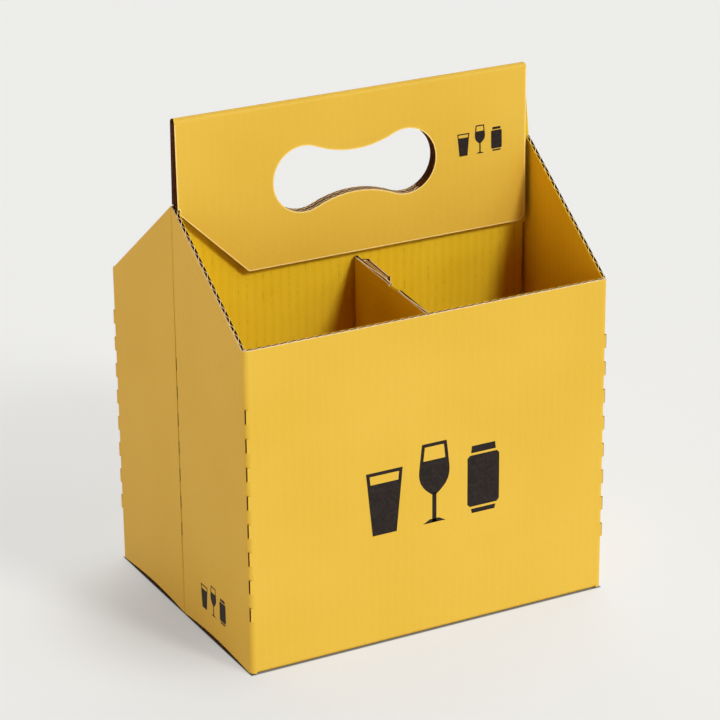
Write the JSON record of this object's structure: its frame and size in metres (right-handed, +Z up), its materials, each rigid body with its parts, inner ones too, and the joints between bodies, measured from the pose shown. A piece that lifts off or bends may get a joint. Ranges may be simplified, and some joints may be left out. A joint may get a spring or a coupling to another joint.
{
  "type": "cardboard drink carrier",
  "caption": "Open-topped corrugated drink carrier with gabled ends, a centre panel with a turned-over handle and waisted hand hole, and cross dividers forming cells.",
  "frame": {"origin": "centre of the carrier's footprint, on the surface it stands on", "axes": "+Z up to the handle, +X along the handle to the right end, -Y towards the front wall, the side the handle ply is turned over to"},
  "size_m": [0.186, 0.142, 0.243],
  "materials": {
    "wrap_board": "yellow tinted corrugated board, matt",
    "handle_board": "yellow tinted corrugated board, matt",
    "divider_board": "yellow tinted corrugated board, matt"
  },
  "bodies": {
    "root": {"carrier_wrap": "wrap_board", "handle_sheet": "handle_board", "front_divider": "divider_board", "rear_divider": "divider_board"}
  },
  "joints": []
}
